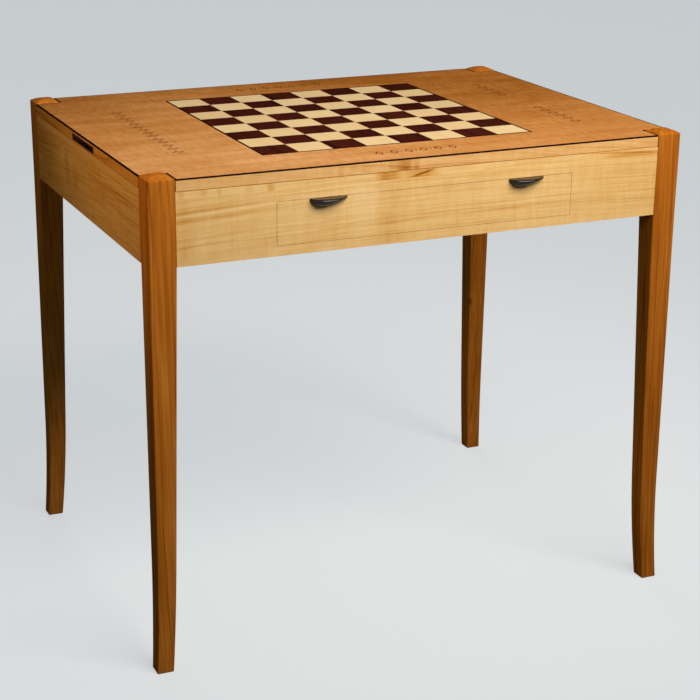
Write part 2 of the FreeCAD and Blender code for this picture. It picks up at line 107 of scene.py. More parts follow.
# %% [markdown]
# ## Wood
#
# Wood is a bundle of growth rings round a tree's heart. A board is a slice through them, so its
# face shows long lines, or arches where the cut leaves the heart at a slant. A picture of wood
# would stretch at the ends of a board. Rings worked out in space are right on every side, and
# end grain comes by itself.
#
# Every tree is described along X here. A board whose grain runs along Y or Z is turned first.
# All distances in the patterns are millimetres.

# %% Grain directions, and noise in millimetres
TURN = {"X": (0.0, 0.0, 0.0), "Y": (0.0, 0.0, -math.pi / 2), "Z": (0.0, math.pi / 2, 0.0)}


def pattern(tree, coordinates, size, detail=2.0, roughness=0.5, distortion=0.0):
    """Noise whose blobs are about size = (along, across, across) millimetres."""
    scaled = add(tree, "ShaderNodeMapping", {"Vector": coordinates, "Scale": [1 / s for s in size]})
    noise = add(tree, "ShaderNodeTexNoise", {"Vector": scaled.outputs[0], "Scale": 1.0,
                                             "Detail": detail, "Roughness": roughness,
                                             "Distortion": distortion})
    return noise.outputs["Fac"]


print("wood grows along", ", ".join(TURN))

# %% [markdown]
# A ring is pale where it grew in spring and dark where it grew late in the year, and a dry year
# leaves a faint line. Rings are never true circles, so the distance from the heart is bent by
# slow noise before it is counted.

# %% Growth rings
WANDER_SIZE = (320.0, 70.0, 70.0)
LATE_WOOD = (0.35, 0.97)
YEAR_NOISE = 0.55
FAINT_YEAR, STRONG_YEAR, FAINTEST = 0.35, 0.7, 0.1


def growth_rings(tree, along, ring, waver):
    """Lines from 0 to 1. The distance from the heart is divided by the ring width, and each ring
    darkens with the cube of how far it is through its late wood. Noise along the count of years
    makes some lines faint."""
    wander = add(tree, "ShaderNodeMapping", {"Vector": along, "Scale": [1 / s for s in WANDER_SIZE]})
    wander = add(tree, "ShaderNodeTexNoise", {"Vector": wander.outputs[0], "Scale": 1.0, "Detail": 2.0})
    wander = add(tree, "ShaderNodeVectorMath", {0: wander.outputs["Color"], "Scale": 2 * waver},
                 operation="SCALE")
    bent = add(tree, "ShaderNodeVectorMath", {0: along, 1: wander.outputs[0]}, operation="ADD")
    flat = add(tree, "ShaderNodeVectorMath", {0: bent.outputs[0], 1: (0.0, 1.0, 1.0)}, operation="MULTIPLY")
    reach = add(tree, "ShaderNodeVectorMath", {0: flat.outputs[0]}, operation="LENGTH")
    count = add(tree, "ShaderNodeMath", {0: reach.outputs["Value"], 1: ring}, operation="DIVIDE").outputs[0]
    year = add(tree, "ShaderNodeMath", {0: count}, operation="FRACT").outputs[0]
    line = add(tree, "ShaderNodeMapRange", {"Value": year, "From Min": LATE_WOOD[0],
                                            "From Max": LATE_WOOD[1]}).outputs[0]
    line = add(tree, "ShaderNodeMath", {0: line, 1: 3.0}, operation="POWER").outputs[0]
    strong = add(tree, "ShaderNodeTexNoise", {"W": count, "Scale": YEAR_NOISE, "Detail": 1.0},
                 noise_dimensions="1D")
    strong = add(tree, "ShaderNodeMapRange", {"Value": strong.outputs["Fac"], "From Min": FAINT_YEAR,
                                              "From Max": STRONG_YEAR, "To Min": FAINTEST,
                                              "To Max": 1.0}).outputs[0]
    return add(tree, "ShaderNodeMath", {0: line, 1: strong}, operation="MULTIPLY").outputs[0]


print("late wood starts at", LATE_WOOD[0], "of a ring")

# %% [markdown]
# Three things happen to a board beside its rings. A board sawn at a slant shows arches, streaks
# and patches lie in one place only, and small pieces, such as the squares of the board, each come
# from another place in the tree.

# %% Arches, marks and separate pieces
FAR_APART = 700.0
RAGGED = 0.9
FADE = (1.5, 0.8)


def arched(tree, mm, bow):
    """Lines arch over bow's x: z grows by bow's curve times the squared distance from it."""
    axes = add(tree, "ShaderNodeSeparateXYZ", {0: mm}).outputs
    away = add(tree, "ShaderNodeMath", {0: axes["X"], 1: bow[0]}, operation="SUBTRACT").outputs[0]
    drop = add(tree, "ShaderNodeMath", {0: away, 1: away}, operation="MULTIPLY").outputs[0]
    level = add(tree, "ShaderNodeMath", {0: drop, 1: bow[1], 2: axes["Z"]}, operation="MULTIPLY_ADD")
    return add(tree, "ShaderNodeCombineXYZ", {0: axes["X"], 1: axes["Y"], 2: level.outputs[0]}).outputs[0]


def own_place(tree, mm, grid):
    """Moves each cell of grid = (corner, cell size) to another place in the tree, up to 700 mm
    away. Returns the moved place and a number from 0 to 1 for the cell's own tone."""
    cell = add(tree, "ShaderNodeVectorMath", {0: mm, 1: grid[0]}, operation="SUBTRACT")
    cell = add(tree, "ShaderNodeVectorMath", {0: cell.outputs[0], 1: grid[1]}, operation="DIVIDE")
    cell = add(tree, "ShaderNodeVectorMath", {0: cell.outputs[0]}, operation="FLOOR")
    own = add(tree, "ShaderNodeTexWhiteNoise", {"Vector": cell.outputs[0]})
    shift = add(tree, "ShaderNodeVectorMath", {0: own.outputs["Color"], "Scale": FAR_APART},
                operation="SCALE")
    moved = add(tree, "ShaderNodeVectorMath", {0: mm, 1: shift.outputs[0]}, operation="ADD")
    return moved.outputs[0], own.outputs["Value"]


def mark_depth(tree, mm, fibres, mark):
    """A soft ellipsoid: the full depth near its centre, fading outwards, ragged by the fibres."""
    centre, half, tilt, strength = mark
    away = add(tree, "ShaderNodeMapping", {"Vector": mm, "Location": centre, "Rotation": (0.0, -tilt, 0.0),
                                           "Scale": half}, vector_type="TEXTURE").outputs[0]
    away = add(tree, "ShaderNodeVectorMath", {0: away}, operation="LENGTH").outputs["Value"]
    ragged = add(tree, "ShaderNodeMath", {0: fibres, 1: RAGGED, 2: away}, operation="MULTIPLY_ADD")
    return add(tree, "ShaderNodeMapRange", {"Value": ragged.outputs[0], "From Min": FADE[0],
                                            "From Max": FADE[1], "To Max": strength}).outputs[0]


print("pieces lie up to", FAR_APART, "mm apart in the tree")

# %% [markdown]
# Everything is then added up into one number, the depth of the colour, and a ramp turns it into
# the wood's own tones. The finish is a thin oil or varnish: fibres show as a faint relief and a
# slightly uneven gloss.

# %% Wood from rings, fibres, ripple, patches and marks
TONE_SPREAD = 0.16
GLOSS_SPREAD = 0.05
RELIEF_HEIGHT = 0.001


def tone_ramp(tree, depth, tones):
    """Colours at even steps of depth from 0 to 1."""
    ramp = add(tree, "ShaderNodeValToRGB", {"Fac": depth})
    stops = ramp.color_ramp.elements
    stops.remove(stops[1])
    stops[0].color = colour(tones[0])
    for number, tone in enumerate(tones[1:], 1):
        stops.new(number / (len(tones) - 1)).color = colour(tone)
    return ramp.outputs[0]


def wood(name, grain, tones, cut=(0.0, 60.0, 90.0), slant=(0.0, 0.0), ring=6.0, waver=5.0,
         ring_depth=0.3, fibre=0.25, fibre_size=(60.0, 0.9, 0.9), ripple=0.0,
         ripple_size=(9.0, 45.0, 45.0), patch=0.3, patch_size=(260.0, 55.0, 55.0),
         base=0.3, sheen=0.5, lustre=0.0, relief=0.03, bow=(0.0, 0.0), marks=(), piece_size=None):
    """Depth is base plus ring_depth times the rings, plus each noise, centred on zero, times
    twice its share, plus the marks. cut is where the tree's heart lies and slant how the board
    is turned from it. ring is the ring width and waver how far rings wander. bow is (x, curve) of
    an arch. marks are (centre, half sizes, tilt, depth), and a negative depth is paler.
    piece_size is (corner, cell size) of a grid of separate pieces."""
    material, tree, shader = blank_material(name)
    place = add(tree, "ShaderNodeTexCoord").outputs["Object"]
    mm = add(tree, "ShaderNodeVectorMath", {0: place, "Scale": 1 / MM}, operation="SCALE").outputs[0]
    if bow[1]:
        mm = arched(tree, mm, bow)
    source, own_tone = own_place(tree, mm, piece_size) if piece_size else (mm, None)
    turned = add(tree, "ShaderNodeMapping", {"Vector": source, "Rotation": TURN[grain]})
    along = add(tree, "ShaderNodeMapping", {"Vector": turned.outputs[0], "Location": cut,
                                            "Rotation": (0.0, slant[0], slant[1])}).outputs[0]

    rings = growth_rings(tree, along, ring, waver)
    depth = add(tree, "ShaderNodeMath", {0: rings, 1: ring_depth, 2: base},
                operation="MULTIPLY_ADD").outputs[0]
    fibres = pattern(tree, along, fibre_size, detail=3.0, roughness=0.6)
    layers = [(fibres, 2 * fibre), (pattern(tree, along, patch_size), 2 * patch)]
    if ripple:
        layers.append((pattern(tree, along, ripple_size, distortion=0.6), 2 * ripple))
    if piece_size:
        layers.append((own_tone, TONE_SPREAD))
    for layer, share in layers:
        centred = add(tree, "ShaderNodeMath", {0: layer, 1: 0.5}, operation="SUBTRACT").outputs[0]
        depth = add(tree, "ShaderNodeMath", {0: centred, 1: share, 2: depth},
                    operation="MULTIPLY_ADD").outputs[0]
    for mark in marks:
        spot = mark_depth(tree, mm, fibres, mark)
        depth = add(tree, "ShaderNodeMath", {0: depth, 1: spot}, operation="ADD").outputs[0]

    bump = add(tree, "ShaderNodeBump", {"Height": fibres, "Strength": relief, "Distance": RELIEF_HEIGHT})
    gloss = add(tree, "ShaderNodeMapRange", {"Value": fibres, "To Min": sheen - GLOSS_SPREAD,
                                             "To Max": sheen + GLOSS_SPREAD})
    tree.links.new(tone_ramp(tree, depth, tones), shader.inputs["Base Color"])
    tree.links.new(gloss.outputs[0], shader.inputs["Roughness"])
    tree.links.new(bump.outputs[0], shader.inputs["Normal"])
    shader.inputs["IOR"].default_value = 1.45
    shader.inputs["Specular IOR Level"].default_value = lustre
    return material


print("materials so far:", len(bpy.data.materials))

# %% [markdown]
# ### The woods of this table
#
# The legs are cherry, which oxidises to a warm orange-brown under oil. The aprons, the drawer
# front and the lid's lippings are a pale ripple maple whose finish has yellowed. The strip along
# each apron's top was cut from a board with more figure: dark patches stop sharply at its joint.
# The end aprons and the lid's end lippings get deeper, more orange tones than the front's maple:
# this is painted half shade, as the ends stand out of the main light.
# The field round the board is steamed pearwood, pinkish tan with a fine ripple across the grain.
# Squares are maple and rosewood, and the stringing and pulls are ebony.
#
# Each leg gets another place in the tree, so that no two look the same. Streaks and patches that
# a real board shows in one place only are marks: soft ellipsoids that darken or lighten the wood
# they reach into. They could be painted on a picture, but in space they also turn the corner.
# Some marks paint light and shade instead: the patches on the top, paler near the front left and
# darker towards the back, and the dark far end of the left end apron.

# %% Cherry for the legs
CHERRY = ("cc8234", "b0681f", "8a4a10", "582c07")
# how deep each leg's colour lies, and one small knot below the middle of the right-hand back leg
LEG_DEPTH = {"front_left": 0.26, "front_right": 0.38, "back_left": 0.18, "back_right": 0.3}
KNOTS = {"back_right": (((400.0, 286.0, 310.0), (7.0, 14.0, 10.0), 0.0, 0.55),)}
FIRST_CUT, NEXT_CUT = np.array([0.0, 48.0, 30.0]), np.array([90.0, 21.0, -17.0])
leg_woods = {}
for number, (corner, leg_depth) in enumerate(LEG_DEPTH.items()):
    leg_woods[corner] = wood("cherry_" + corner, "Z", CHERRY, cut=(FIRST_CUT + number * NEXT_CUT).tolist(),
                             slant=(0.02, -0.015), ring=8.0, waver=10.0, ring_depth=0.32, fibre=0.4,
                             fibre_size=(150.0, 3.2, 3.2), patch=0.24, patch_size=(200.0, 22.0, 22.0),
                             base=leg_depth, sheen=0.45, marks=KNOTS.get(corner, ()))
print("legs:", len(leg_woods), "cherry materials")

# %% Pale ripple maple for the aprons, drawer front and lippings
PALE = ("ebcb92", "dcb472", "c48c40", "905616")
# darker and more orange than PALE: painted half shade on the end aprons and their strips
END_HALF_SHADE_TONES = ("e0ad63", "d09647", "b07227", "7c4810")
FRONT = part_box("drawer_front")[0].y / MM
LID_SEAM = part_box("underside_veneer")[0].z / MM
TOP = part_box("field_veneer")[1].z / MM
LEFT_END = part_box("apron_left")[0].x / MM
MARK_REACH = 14.0


def streak(x, below, half_length, half_height, depth, tilt=0.0):
    """A mark on the front at x, a distance below the lid. It reaches 14 mm into the wood."""
    return (x, FRONT, LID_SEAM - below), (half_length, MARK_REACH, half_height), tilt, depth


def end_mark(y, below, half_length, half_height, depth):
    """A mark on the left end at y, a distance below the lid."""
    return (LEFT_END, y, LID_SEAM - below), (MARK_REACH, half_length, half_height), 0.0, depth


print("front face at y =", round(FRONT, 1), "mm, lid seam at z =", round(LID_SEAM, 1), "mm")

# %% Marks on the aprons, the strips and the front lipping
apron_marks = (
    streak(40.0, 67.0, 520.0, 1.5, 0.16),
    streak(-335.0, 19.5, 140.0, 3.4, 0.24),
    streak(-330.0, 24.5, 120.0, 3.0, -0.14),
    streak(-340.0, 31.0, 150.0, 4.4, 0.24),
    streak(-60.0, 96.0, 46.0, 13.0, 0.12),
    streak(-170.0, 87.0, 70.0, 1.4, 0.14),
    streak(90.0, 88.0, 150.0, 2.6, 0.08),
    streak(-84.0, 18.0, 12.0, 5.0, 0.14),
    streak(-378.0, 50.0, 24.0, 70.0, 0.12),
    streak(345.0, 50.0, 130.0, 90.0, 0.14),
    streak(-108.0, 42.0, 34.0, 60.0, -0.16),
    streak(-60.0, 60.0, 26.0, 60.0, 0.1),
)
strip_marks = (
    streak(-66.0, 5.5, 24.0, 40.0, 0.44),
    streak(-14.0, 6.0, 34.0, 30.0, 0.34),
    streak(-12.0, 6.0, 26.0, 2.4, 0.5, 0.24),
    streak(352.0, 9.0, 74.0, 6.0, 0.36),
    streak(322.0, 3.5, 80.0, 2.4, 0.34, -0.05),
    streak(-249.0, 5.0, 7.0, 20.0, 0.3),
    streak(-349.0, 3.0, 8.0, 9.0, 0.24),
    streak(-326.0, 4.0, 4.0, 12.0, 0.2),
    streak(-382.0, 5.0, 6.0, 14.0, 0.22),
    streak(-282.0, 6.0, 9.0, 8.0, 0.14),
)
lipping_marks = (
    streak(-40.0, -9.0, 14.0, 60.0, 0.46),
    streak(-21.0, -9.0, 6.0, 60.0, 0.24),
    streak(-58.0, -9.0, 12.0, 60.0, 0.14),
    streak(-142.0, -9.0, 6.0, 40.0, 0.14),
    streak(375.0, -9.0, 22.0, 40.0, 0.14),
)

end_streaks_and_far_shade = (
    end_mark(-215.0, 30.0, 110.0, 2.4, 0.3),
    end_mark(-170.0, 37.0, 120.0, 1.8, 0.22),
    end_mark(-40.0, 34.0, 140.0, 2.2, 0.2),
    end_mark(-190.0, 20.0, 150.0, 12.0, -0.16),
    end_mark(-210.0, 55.0, 120.0, 2.0, 0.18),
    end_mark(104.0, 48.0, 18.0, 36.0, 0.22),
    end_mark(56.0, 56.0, 20.0, 26.0, 0.16),
    end_mark(128.0, 34.0, 12.0, 18.0, -0.14),
    # this last mark darkens the far end of the left apron: painted shade
    end_mark(250.0, 50.0, 130.0, 130.0, 0.2),
)
print("marks:", len(apron_marks), len(strip_marks), len(lipping_marks), len(end_streaks_and_far_shade))

# %% The maple of each board
ARCH = (40.0, 6.6e-5)
LONG_LIP_TONES = ("e6be88", "d6a868", "be8444", "90561a")
# the end lippings' tones are darker and more orange than the long ones: painted half shade
END_LIP_HALF_SHADE_TONES = ("dca452", "cc8b38", "a4671e", "7a4c12")
front_wood = wood("maple_front", "X", PALE, cut=(40.0, 150.0, -560.0), ring=7.0, waver=5.0,
                  ring_depth=0.2, fibre=0.36, fibre_size=(80.0, 3.0, 1.6), ripple=0.14, patch=0.16,
                  base=0.22, bow=ARCH, marks=apron_marks)
strip_wood = wood("maple_strips", "X", PALE, cut=(900.0, 60.0, -660.0), slant=(0.015, 0.0), ring=5.0,
                  waver=6.0, ring_depth=0.2, fibre=0.4, fibre_size=(60.0, 3.0, 1.3), ripple=0.12,
                  patch=0.2, base=0.2, marks=strip_marks)
back_wood = wood("maple_back", "X", PALE, cut=(700.0, 120.0, -610.0), ring=9.0, waver=8.0,
                 ring_depth=0.22, fibre=0.22, fibre_size=(90.0, 3.0, 1.6), ripple=0.1, patch=0.18,
                 base=0.26)
end_wood = wood("maple_ends_half_shade", "Y", END_HALF_SHADE_TONES, cut=(300.0, 90.0, -590.0), slant=(-0.055, 0.0), ring=13.0,
                waver=9.0, ring_depth=0.24, fibre=0.6, fibre_size=(90.0, 3.0, 1.8), ripple=0.16,
                patch=0.26, base=0.24, marks=end_streaks_and_far_shade)
end_strip_wood = wood("maple_end_strips_half_shade", "Y", END_HALF_SHADE_TONES, cut=(60.0, 90.0, -680.0), slant=(-0.01, 0.0),
                      ring=6.0, waver=6.0, ring_depth=0.3, fibre=0.3, fibre_size=(70.0, 3.0, 1.4),
                      patch=0.24, base=0.22)
lip_long_wood = wood("maple_long_lippings", "X", LONG_LIP_TONES, cut=(500.0, 35.0, -690.0),
                     slant=(-0.09, 0.0), ring=4.0, waver=6.0, ring_depth=0.3, fibre=0.4,
                     fibre_size=(50.0, 3.0, 1.2), ripple=0.14, patch=0.22, base=0.24, marks=lipping_marks)
lip_end_wood = wood("maple_end_lippings_half_shade", "Y", END_LIP_HALF_SHADE_TONES, cut=(200.0, 45.0, -690.0),
                    slant=(-0.05, 0.0), ring=5.0, waver=6.0, ring_depth=0.22, fibre=0.22,
                    fibre_size=(70.0, 3.0, 1.4), ripple=0.1, patch=0.2, base=0.3)
print("materials so far:", len(bpy.data.materials))

# %% Pearwood veneer round the board
PEAR = ("dfac77", "c78b4d", "a66729", "764315")
# these patches paint light and shade on the top: paler near the front left, darker towards the back
field_light_and_shade_marks = (
    ((-260.0, -240.0, TOP), (330.0, 170.0, 100.0), 0.0, -0.16),
    ((360.0, 260.0, TOP), (460.0, 330.0, 100.0), 0.0, 0.32),
    ((-160.0, 330.0, TOP), (460.0, 110.0, 100.0), 0.0, 0.18),
    ((330.0, -120.0, TOP), (240.0, 240.0, 100.0), 0.0, 0.12),
    ((-400.0, 200.0, TOP), (140.0, 200.0, 100.0), 0.0, 0.14),
)
field_wood = wood("pearwood_field", "X", PEAR, cut=(0.0, 900.0, 420.0), ring=14.0, waver=14.0,
                  ring_depth=0.12, fibre=0.14, fibre_size=(26.0, 1.8, 1.8), ripple=0.18,
                  ripple_size=(7.0, 30.0, 30.0), patch=0.22, patch_size=(120.0, 40.0, 40.0), base=0.32,
                  sheen=0.6, marks=field_light_and_shade_marks)
inlay_wood = wood("walnut_inlay", "X", ("7a4226", "5e2f18", "42200f", "2a1308"), fibre=0.3, patch=0.1,
                  sheen=0.45)
print("top surface at z =", round(TOP, 1), "mm, patches in the field:", len(field_light_and_shade_marks))

# %% Squares of maple and rosewood
SQUARE = 55.0
BORDER = 4.0
board_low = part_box("board_border")[0]
grid = ((0.0, board_low.y / MM + BORDER, 0.0), (SQUARE, SQUARE, 1000.0))
light_wood = wood("maple_squares", "Y", ("f2deb2", "e8d0a0", "d8ba86", "b69060"), ring=6.0, ring_depth=0.12,
                  fibre=0.16, fibre_size=(40.0, 1.5, 1.5), patch=0.12, base=0.36, sheen=0.6, relief=0.0,
                  piece_size=grid)
dark_wood = wood("rosewood_squares", "Y", ("5a261a", "441b13", "2d100b", "190705"), ring=5.0, ring_depth=0.35,
                 fibre=0.3, fibre_size=(30.0, 1.2, 1.2), patch=0.15, base=0.35, sheen=0.6, relief=0.0,
                 piece_size=grid)
print("squares", SQUARE, "mm, from y =", round(grid[0][1], 2), "mm")

# %% Ebony for stringing, border and pulls
string_wood = wood("ebony_string", "X", ("2c1a14", "20120e", "140b09", "0a0605"), fibre=0.3, patch=0.1,
                   sheen=0.22)
pull_wood = wood("ebony_pulls", "X", ("2c1a16", "180e0c", "0e0807", "070404"), fibre=0.25,
                 fibre_size=(24.0, 0.8, 0.8), patch=0.2, base=0.3, sheen=0.1, lustre=0.36, relief=0.0)
liner_wood = wood("ebony_liners", "Y", ("4e3a46", "382833", "261b22", "150f12"), fibre=0.25, patch=0.1,
                  sheen=0.35)
print("the pulls are polished to a roughness of 0.1, the liners to 0.35")

# %% Plain woods inside
CARCASE = ("ecd0a0", "dcb87f", "c19a60", "94703c")
# the backing's brown is partly the veneer's own colour and partly painted shadow: it is dark so that its thin
# edge between lid and aprons paints the seam's shadow line
BACKING_AND_SEAM_SHADE = ("b27a45", "96602f", "784619", "553010")
inside_wood = wood("poplar_inside", "Y", CARCASE, ring=7.0, ring_depth=0.2, fibre=0.2, patch=0.2, sheen=0.6)
inside_cross_wood = wood("poplar_inside_cross", "X", CARCASE, ring=7.0, ring_depth=0.2, fibre=0.2,
                         patch=0.2, sheen=0.6)
backing_and_seam_shade_wood = wood("backing_veneer_and_seam_shade", "X", BACKING_AND_SEAM_SHADE, fibre=0.2, patch=0.2, sheen=0.55)
print("woods in all:", len(bpy.data.materials))

# %% [markdown]
# ### Baize and steel
#
# The games well is lined with wool baize: a felted green cloth whose nap scatters light, so it
# has a little sheen and a grainy colour. The screws are plain steel with fine turning marks.


# %% Green wool baize
def wool_baize(name):
    """Two greens mixed by noise 0.8 mm across, and a nap of fibres 0.3 mm across as relief."""
    material, tree, shader = blank_material(name)
    place = add(tree, "ShaderNodeTexCoord").outputs["Object"]
    mottle = add(tree, "ShaderNodeTexNoise", {"Vector": place, "Scale": 1250.0, "Detail": 3.0})
    cloth = add(tree, "ShaderNodeMix", {"Factor": mottle.outputs["Fac"], 6: colour("1f4a2a"),
                                        7: colour("3a7044")}, data_type="RGBA")
    nap = add(tree, "ShaderNodeTexNoise", {"Vector": place, "Scale": 3300.0, "Detail": 2.0})
    bump = add(tree, "ShaderNodeBump", {"Height": nap.outputs["Fac"], "Strength": 0.4, "Distance": 0.0003})
    tree.links.new(cloth.outputs[2], shader.inputs["Base Color"])
    tree.links.new(bump.outputs[0], shader.inputs["Normal"])
    shader.inputs["Roughness"].default_value = 0.95
    shader.inputs["Specular IOR Level"].default_value = 0.0
    shader.inputs["Sheen Weight"].default_value = 0.15
    shader.inputs["Sheen Tint"].default_value = colour("7fae86")
    return material


def turned_steel(name):
    """Bare steel: grey metal with the fine relief that a lathe leaves, about 0.4 mm across."""
    material, tree, shader = blank_material(name)
    place = add(tree, "ShaderNodeTexCoord").outputs["Object"]
    turning = add(tree, "ShaderNodeTexNoise", {"Vector": place, "Scale": 2500.0, "Detail": 1.0})
    bump = add(tree, "ShaderNodeBump", {"Height": turning.outputs["Fac"], "Strength": 0.2,
                                        "Distance": 0.0002})
    tree.links.new(bump.outputs[0], shader.inputs["Normal"])
    shader.inputs["Base Color"].default_value = colour("b9b6b0")
    shader.inputs["Metallic"].default_value = 1.0
    shader.inputs["Roughness"].default_value = 0.35
    return material


baize = wool_baize("wool_baize")
steel = turned_steel("turned_steel")
print("cloth and metal ready")

# %% [markdown]
# ## Dressing the carried-over pieces
#
# Most pieces have the right shape in the solid model: boards, veneers and strips. They stay, and
# only get their finish. The drawer front shares the apron's wood and coordinates, so the grain
# runs on across the cut lines, as it does where a front is sawn out of its own apron.

# %% Give each node its wood
FINISH = {
    "apron_front": front_wood, "drawer_front": front_wood, "apron_back": back_wood,
    "apron_left": end_wood, "apron_right": end_wood,
    "apron_strip_front": strip_wood, "apron_strip_back": strip_wood,
    "apron_strip_left": end_strip_wood, "apron_strip_right": end_strip_wood,
    "lid_lipping_front": lip_long_wood, "lid_lipping_back": lip_long_wood,
    "lid_lipping_left": lip_end_wood, "lid_lipping_right": lip_end_wood,
    "lid_core": inside_cross_wood, "underside_veneer": backing_and_seam_shade_wood,
    "field_veneer": field_wood, "ornament_inlay": inlay_wood,
    "light_squares": light_wood, "dark_squares": dark_wood,
    "board_border": string_wood, "edge_string": string_wood,
    "finger_pull_left": liner_wood, "finger_pull_right": liner_wood,
    "well_floor": inside_cross_wood, "well_lining": baize,
    "drawer_runner_left": inside_wood, "drawer_runner_right": inside_wood,
    "drawer_guide_left": inside_wood, "drawer_guide_right": inside_wood,
    "drawer_kicker_left": inside_wood, "drawer_kicker_right": inside_wood,
    "drawer_stops": inside_cross_wood,
    "drawer_side_left": inside_wood, "drawer_side_right": inside_wood,
    "drawer_back": inside_cross_wood, "drawer_bottom": inside_cross_wood,
    "pull_screws": steel, "drawer_bottom_screws": steel,
}


def dress(piece, material):
    piece.data.materials.clear()
    piece.data.materials.append(material)


for node, material in FINISH.items():
    dress(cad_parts[node], material)
print("dressed", len(FINISH), "nodes")

# %% [markdown]
# ## Surfaces from rings
#
# A leg or a pull is a stack of closed rings. If the rings are worked out as one numpy array,
# joining ring to ring gives the whole skin. The two ends close on a single point each.


# %% Skin a stack of rings
def skin(name, rings, body, node, material):
    """rings has shape (count, points, 3). Point j of ring i joins j + 1 and ring i + 1, and the
    mean of the first and of the last ring are the two poles. Lengths are in millimetres."""
    count, points, _ = rings.shape
    poles = np.stack([rings[0].mean(axis=0), rings[-1].mean(axis=0)])
    places = np.concatenate([rings.reshape(-1, 3), poles]) * MM
    row, column = np.meshgrid(np.arange(count - 1), np.arange(points), indexing="ij")
    following = (column + 1) % points
    quads = np.stack([row * points + column, row * points + following,
                      (row + 1) * points + following, (row + 1) * points + column], axis=-1).reshape(-1, 4)
    around = np.arange(points)
    ahead = (around + 1) % points
    last = (count - 1) * points
    low_fan = np.stack([np.full(points, count * points), ahead, around], axis=-1)
    high_fan = np.stack([np.full(points, count * points + 1), last + around, last + ahead], axis=-1)
    mesh = bpy.data.meshes.new(name)
    mesh.from_pydata(places.tolist(), [], quads.tolist() + low_fan.tolist() + high_fan.tolist())
    work = bmesh.new()
    work.from_mesh(mesh)
    bmesh.ops.remove_doubles(work, verts=work.verts, dist=1e-6)
    bmesh.ops.recalc_face_normals(work, faces=work.faces)
    for face in work.faces:
        face.smooth = True
    work.to_mesh(mesh)
    work.free()
    piece = bpy.data.objects.new(name, mesh)
    bpy.context.scene.collection.objects.link(piece)
    dress(piece, material)
    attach(piece, body)
    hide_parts(node)
    print(name, len(mesh.polygons), "faces")
    return piece


print("skin() is ready, with the materials of", len(leg_woods), "legs")

# %% [markdown]
# ## Legs
#
# A leg is square in section. It stays straight past the apron, tapers slowly below it, and
# sweeps out on a long arc above the foot. The top is a low pillow with four hips. On the
# real leg every edge has been eased with a scraper, which is what catches the light. The
# solid's long edges are sharp, so each leg is skinned again with rounded ones.

# %% Leg sizes: the places come from the frame, the taper and the flare are the solid model's
string_low, string_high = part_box("edge_string")
leg_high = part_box("leg_back_right")[1]
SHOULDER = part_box("apron_front")[0].z / MM
HALF_LENGTH, HALF_DEPTH = string_high.x / MM, (string_high.y - string_low.y) / 2 / MM
SHIFT_Y = (string_high.y + string_low.y) / 2 / MM
LEG = HALF_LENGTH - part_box("apron_strip_front")[1].x / MM
RISE, FLARE = leg_high.z / MM - TOP, leg_high.x / MM - HALF_LENGTH
FOOT, SPLAY, KNEE, EASE = 26.0, 2.7, 181.0, 1.6
KNEE_WIDTH = FOOT + (LEG - FOOT) * KNEE / SHOULDER
print("leg", round(LEG, 2), "mm square, pillow", round(RISE, 2), "mm, flare", round(FLARE, 2), "mm")


# %% The line of one face
def leg_line(height, at_shoulder, at_knee, at_foot):
    """Where one face of the leg stands at each height: level above the shoulder, straight from
    shoulder to knee, then the arc that leaves the straight smoothly and ends at the foot. The
    arc's radius is the chord squared over twice its part across the straight."""
    slope = (at_knee - at_shoulder) / (SHOULDER - KNEE)
    length = math.hypot(slope, 1.0)
    lean = ((at_foot - at_knee) - KNEE * slope) / length
    radius = ((at_foot - at_knee) ** 2 + KNEE ** 2) / (2 * lean)
    centre = at_knee + radius / length, KNEE + radius * slope / length
    arc = centre[0] - np.sqrt(radius ** 2 - (np.minimum(height, KNEE) - centre[1]) ** 2)
    straight = at_shoulder + (SHOULDER - np.clip(height, KNEE, SHOULDER)) * slope
    return np.where(height < KNEE, arc, straight)


places = leg_line(np.array([0.0, KNEE, SHOULDER]), HALF_LENGTH, HALF_LENGTH + SPLAY, HALF_LENGTH + FLARE)
print("outer face at foot, knee and shoulder (mm):", np.round(places, 2))

# %% Rings with rounded corners
CORNER_POINTS = 6
FLAT_BORDER, THIN_SHARE = 1.5, 0.2


def rounded_ring(low_x, high_x, low_y, high_y, height, radius):
    """Rings of rounded rectangles, one per height. Each corner is a quarter circle, and each side
    has three more points: one near either corner, to keep the side's shading flat, and one in
    the middle."""
    quarter = np.linspace(0.0, np.pi / 2, CORNER_POINTS)
    parts = []
    for corner, (side_x, side_y) in enumerate(((1, 1), (-1, 1), (-1, -1), (1, -1))):
        angle = quarter + corner * np.pi / 2
        at_x = (high_x if side_x > 0 else low_x) - side_x * radius
        at_y = (high_y if side_y > 0 else low_y) - side_y * radius
        arc_x = at_x[:, None] + radius[:, None] * np.cos(angle)
        arc_y = at_y[:, None] + radius[:, None] * np.sin(angle)
        along = np.round([-np.sin(angle[-1]), np.cos(angle[-1])])
        gap = np.minimum(FLAT_BORDER, THIN_SHARE * (high_x - low_x))[:, None]
        span = np.where(along[0] != 0, high_x - low_x, high_y - low_y) - 2 * radius
        steps = np.concatenate([gap, span[:, None] / 2, span[:, None] - gap], axis=1)
        side_x_points = arc_x[:, -1:] + along[0] * steps
        side_y_points = arc_y[:, -1:] + along[1] * steps
        parts.append(np.stack([np.concatenate([arc_x, side_x_points], axis=1),
                               np.concatenate([arc_y, side_y_points], axis=1)], axis=-1))
    outline = np.concatenate(parts, axis=1)
    up = np.broadcast_to(height[:, None, None], (*outline.shape[:2], 1))
    return np.concatenate([outline, up], axis=-1)


print("points in a ring:", 4 * (CORNER_POINTS + 3))

# %% The pillow top
RIM, CROWN_EASE, POLE_GAP = 2.2, 5.0, 0.02


